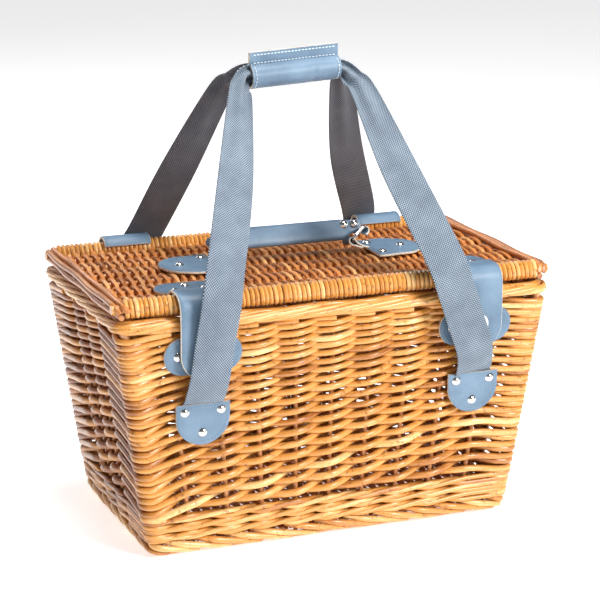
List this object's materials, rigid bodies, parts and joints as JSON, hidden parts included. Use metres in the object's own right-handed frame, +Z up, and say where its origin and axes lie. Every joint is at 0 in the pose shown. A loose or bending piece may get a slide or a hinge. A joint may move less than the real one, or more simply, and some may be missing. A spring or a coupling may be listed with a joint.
{
  "type": "wicker picnic basket",
  "caption": "Lidded rectangular wicker picnic basket with leather latches, hinges and lid handle, and webbing carry straps joined in a leather grip",
  "frame": {"origin": "centre of the foot, on the ground", "axes": "+Z up, -Y the front with the latches, +X to the right seen from the front"},
  "size_m": [0.44, 0.2896, 0.4558],
  "materials": {
    "willow": "varnished golden willow rods",
    "willow_dark": "varnished red-brown willow rods",
    "leather": "smooth steel-blue leather with pale cut edges",
    "webbing": "fine woven grey-blue webbing",
    "steel": "bright nickel plate"
  },
  "bodies": {
    "basket": {"base_panel": "willow_dark", "front_wall": "willow", "rear_wall": "willow", "left_wall": "willow", "right_wall": "willow", "corner_posts": "willow", "front_rim": "willow", "rear_rim": "willow", "left_rim": "willow", "right_rim": "willow", "front_foot_border": "willow", "rear_foot_border": "willow", "left_foot_border": "willow", "right_foot_border": "willow", "front_anchor_left": "leather", "front_anchor_right": "leather", "rear_anchor_left": "leather", "rear_anchor_right": "leather", "front_strap_ends": "webbing", "rear_strap_ends": "webbing", "anchor_rivets": "steel", "latch_patch_left": "leather", "latch_patch_right": "leather", "latch_patch_rivets": "steel", "turn_lock_plate_left": "steel", "turn_lock_plate_right": "steel", "hinge_leaf_left": "leather", "hinge_leaf_right": "leather", "hinge_rivets": "steel"},
    "lid": {"lid_panel": "willow_dark", "lid_front_roll": "willow", "lid_rear_roll": "willow", "lid_end_left": "willow_dark", "lid_end_right": "willow_dark", "hinge_loop_left": "leather", "hinge_loop_right": "leather", "latch_root_left": "leather", "latch_root_right": "leather", "latch_root_rivets": "steel", "handle_tab_left": "leather", "handle_tab_right": "leather", "handle_tab_rivets": "steel"},
    "latch_left": {"latch_tongue_left": "leather", "slot_plate_left": "steel"},
    "latch_right": {"latch_tongue_right": "leather", "slot_plate_right": "steel"},
    "turn_knob_left": {"turn_knob_left": "steel"},
    "turn_knob_right": {"turn_knob_right": "steel"},
    "lid_handle": {"handle_grip": "leather", "handle_loop_left": "leather", "handle_loop_right": "leather", "handle_ring_left": "steel", "handle_ring_right": "steel", "handle_grip_rivets": "steel"},
    "front_carry": {"front_carry_strap": "webbing", "front_grip_wrap": "leather"},
    "rear_carry": {"rear_carry_strap": "webbing", "rear_grip_wrap": "leather"}
  },
  "joints": [
    {"name": "lid_hinge", "type": "hinge", "parent": "basket", "child": "lid", "pos_m": [0, 0.1265, 0.2382], "axis": [-1, 0, 0], "range_deg": [0, 90]},
    {"name": "latch_left_fold", "type": "hinge", "parent": "lid", "child": "latch_left", "pos_m": [-0.137, -0.1329, 0.2407], "axis": [1, 0, 0], "range_deg": [0, 63]},
    {"name": "latch_right_fold", "type": "hinge", "parent": "lid", "child": "latch_right", "pos_m": [0.137, -0.1329, 0.2407], "axis": [1, 0, 0], "range_deg": [0, 63]},
    {"name": "turn_knob_left_turn", "type": "hinge", "parent": "basket", "child": "turn_knob_left", "pos_m": [-0.137, -0.12341, 0.2], "axis": [0, -0.9974, -0.0719], "range_deg": [0, 90]},
    {"name": "turn_knob_right_turn", "type": "hinge", "parent": "basket", "child": "turn_knob_right", "pos_m": [0.137, -0.12341, 0.2], "axis": [0, -0.9974, -0.0719], "range_deg": [0, 90]},
    {"name": "lid_handle_swing", "type": "hinge", "parent": "lid", "child": "lid_handle", "pos_m": [0, 0.003, 0.2546], "axis": [1, 0, 0], "range_deg": [0, 70]},
    {"name": "front_carry_swing", "type": "hinge", "parent": "basket", "child": "front_carry", "pos_m": [0, -0.12693, 0.1543], "axis": [1, 0, 0], "range_deg": [0, 135]},
    {"name": "rear_carry_swing", "type": "hinge", "parent": "basket", "child": "rear_carry", "pos_m": [0, 0.12693, 0.1543], "axis": [-1, 0, 0], "range_deg": [0, 135]}
  ],
  "couplings": [
    {"joint": "latch_left_fold", "follows": "lid_hinge", "ratio": 0.7},
    {"joint": "latch_right_fold", "follows": "lid_hinge", "ratio": 0.7},
    {"joint": "front_carry_swing", "follows": "lid_hinge", "ratio": 1.5},
    {"joint": "rear_carry_swing", "follows": "lid_hinge", "ratio": 1.5}
  ]
}
